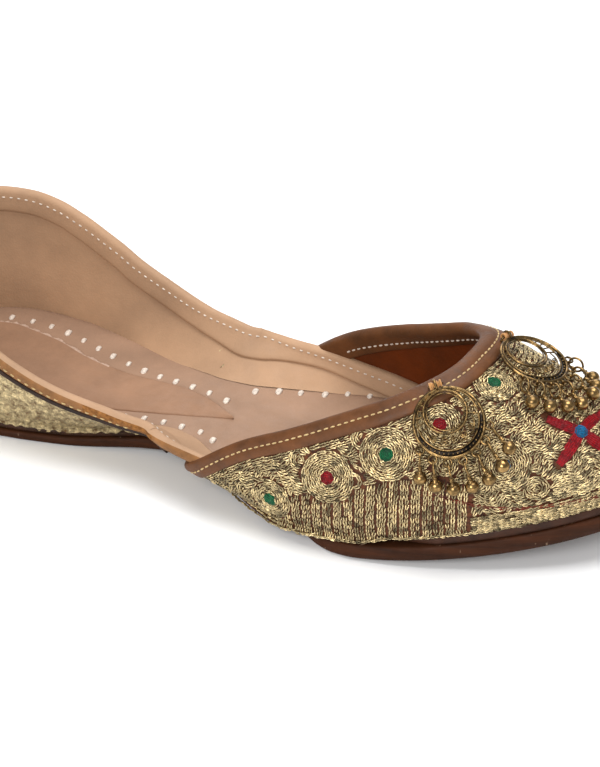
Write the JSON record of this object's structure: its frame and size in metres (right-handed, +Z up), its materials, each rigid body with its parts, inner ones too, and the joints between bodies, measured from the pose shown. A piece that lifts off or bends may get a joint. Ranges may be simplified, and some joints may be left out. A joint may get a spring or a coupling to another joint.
{
  "type": "mojari shoe",
  "caption": "Flat slip-on right shoe with a low open collar, embroidered vamp, folded leather bindings, stitched insole, sprung toe and swinging brass ornaments beside the throat.",
  "frame": {"origin": "centre of the bounding box in plan, on the floor the shoe stands on", "axes": "+X toward the toe, +Y toward the inner side of the foot, +Z up"},
  "size_m": [0.2626, 0.08, 0.0587],
  "materials": {
    "sole_leather": "dark brown sole leather, worn bottom edge",
    "welt_leather": "brown sole leather, cut edge",
    "lining_leather": "tan lining leather, matt",
    "pad_leather": "orange-tan leather, matt",
    "zari_cloth": "dense champagne-gold chain-stitch embroidery on brown ground",
    "binding_leather": "chestnut leather, satin",
    "piping_leather": "dark brown leather cord",
    "brass": "antique brass, dark patina in the hollows"
  },
  "bodies": {
    "shoe": {"outsole": "sole_leather", "midsole": "welt_leather", "insole": "lining_leather", "heel_pad": "pad_leather", "upper": "zari_cloth", "throat_binding": "binding_leather", "collar_binding": "lining_leather", "collar_piping": "piping_leather", "ornament_near_staple": "brass", "ornament_far_staple": "brass"},
    "near_hoop": {"ornament_near_hoop": "brass"},
    "near_drop_1": {"ornament_near_drop_1": "brass"},
    "near_drop_2": {"ornament_near_drop_2": "brass"},
    "near_drop_3": {"ornament_near_drop_3": "brass"},
    "near_drop_4": {"ornament_near_drop_4": "brass"},
    "near_drop_5": {"ornament_near_drop_5": "brass"},
    "near_drop_6": {"ornament_near_drop_6": "brass"},
    "near_drop_7": {"ornament_near_drop_7": "brass"},
    "far_hoop": {"ornament_far_hoop": "brass"},
    "far_drop_1": {"ornament_far_drop_1": "brass"},
    "far_drop_2": {"ornament_far_drop_2": "brass"},
    "far_drop_3": {"ornament_far_drop_3": "brass"},
    "far_drop_4": {"ornament_far_drop_4": "brass"},
    "far_drop_5": {"ornament_far_drop_5": "brass"},
    "far_drop_6": {"ornament_far_drop_6": "brass"},
    "far_drop_7": {"ornament_far_drop_7": "brass"}
  },
  "joints": [
    {"name": "near_hoop_swing", "type": "hinge", "parent": "shoe", "child": "near_hoop", "pos_m": [0.07309, -0.01934, 0.05663], "axis": [-0.7394, -0.6071, -0.2912], "range_deg": [0, 75]},
    {"name": "near_drop_1_swing", "type": "hinge", "parent": "near_hoop", "child": "near_drop_1", "pos_m": [0.07512, -0.0324, 0.04074], "axis": [-0.8936, -0.448, -0.0282], "range_deg": [0, 70]},
    {"name": "near_drop_2_swing", "type": "hinge", "parent": "near_hoop", "child": "near_drop_2", "pos_m": [0.07926, -0.03211, 0.03885], "axis": [-0.8533, -0.508, -0.1178], "range_deg": [0, 70]},
    {"name": "near_drop_3_swing", "type": "hinge", "parent": "near_hoop", "child": "near_drop_3", "pos_m": [0.08354, -0.03065, 0.0382], "axis": [-0.8016, -0.5613, -0.2058], "range_deg": [0, 70]},
    {"name": "near_drop_4_swing", "type": "hinge", "parent": "near_hoop", "child": "near_drop_4", "pos_m": [0.08737, -0.02823, 0.03889], "axis": [-0.7394, -0.6071, -0.2912], "range_deg": [0, 70]},
    {"name": "near_drop_5_swing", "type": "hinge", "parent": "near_hoop", "child": "near_drop_5", "pos_m": [0.0902, -0.02518, 0.04083], "axis": [-0.6673, -0.6449, -0.3726], "range_deg": [0, 70]},
    {"name": "near_drop_6_swing", "type": "hinge", "parent": "near_hoop", "child": "near_drop_6", "pos_m": [0.09163, -0.02195, 0.04372], "axis": [-0.5864, -0.6741, -0.4491], "range_deg": [0, 70]},
    {"name": "near_drop_7_swing", "type": "hinge", "parent": "near_hoop", "child": "near_drop_7", "pos_m": [0.09146, -0.01898, 0.04718], "axis": [-0.4977, -0.6944, -0.5197], "range_deg": [0, 70]},
    {"name": "far_hoop_swing", "type": "hinge", "parent": "shoe", "child": "far_hoop", "pos_m": [0.07954, 0.01482, 0.05697], "axis": [-0.2793, -0.9506, 0.1354], "range_deg": [0, 75]},
    {"name": "far_drop_1_swing", "type": "hinge", "parent": "far_hoop", "child": "far_drop_1", "pos_m": [0.09244, -0.00104, 0.0539], "axis": [-0.5729, -0.7907, 0.2159], "range_deg": [0, 70]},
    {"name": "far_drop_2_swing", "type": "hinge", "parent": "far_hoop", "child": "far_drop_2", "pos_m": [0.09656, 0.00039, 0.05258], "axis": [-0.4809, -0.8556, 0.1915], "range_deg": [0, 70]},
    {"name": "far_drop_3_swing", "type": "hinge", "parent": "far_hoop", "child": "far_drop_3", "pos_m": [0.09988, 0.00331, 0.05142], "axis": [-0.3826, -0.9091, 0.1645], "range_deg": [0, 70]},
    {"name": "far_drop_4_swing", "type": "hinge", "parent": "far_hoop", "child": "far_drop_4", "pos_m": [0.10192, 0.00733, 0.05058], "axis": [-0.2793, -0.9506, 0.1354], "range_deg": [0, 70]},
    {"name": "far_drop_5_swing", "type": "hinge", "parent": "far_hoop", "child": "far_drop_5", "pos_m": [0.10239, 0.01187, 0.0502], "axis": [-0.1722, -0.9795, 0.1045], "range_deg": [0, 70]},
    {"name": "far_drop_6_swing", "type": "hinge", "parent": "far_hoop", "child": "far_drop_6", "pos_m": [0.10124, 0.01629, 0.05031], "axis": [-0.0628, -0.9954, 0.0722], "range_deg": [0, 70]},
    {"name": "far_drop_7_swing", "type": "hinge", "parent": "far_hoop", "child": "far_drop_7", "pos_m": [0.09861, 0.01997, 0.05091], "axis": [0.0474, -0.9981, 0.039], "range_deg": [0, 70]}
  ]
}
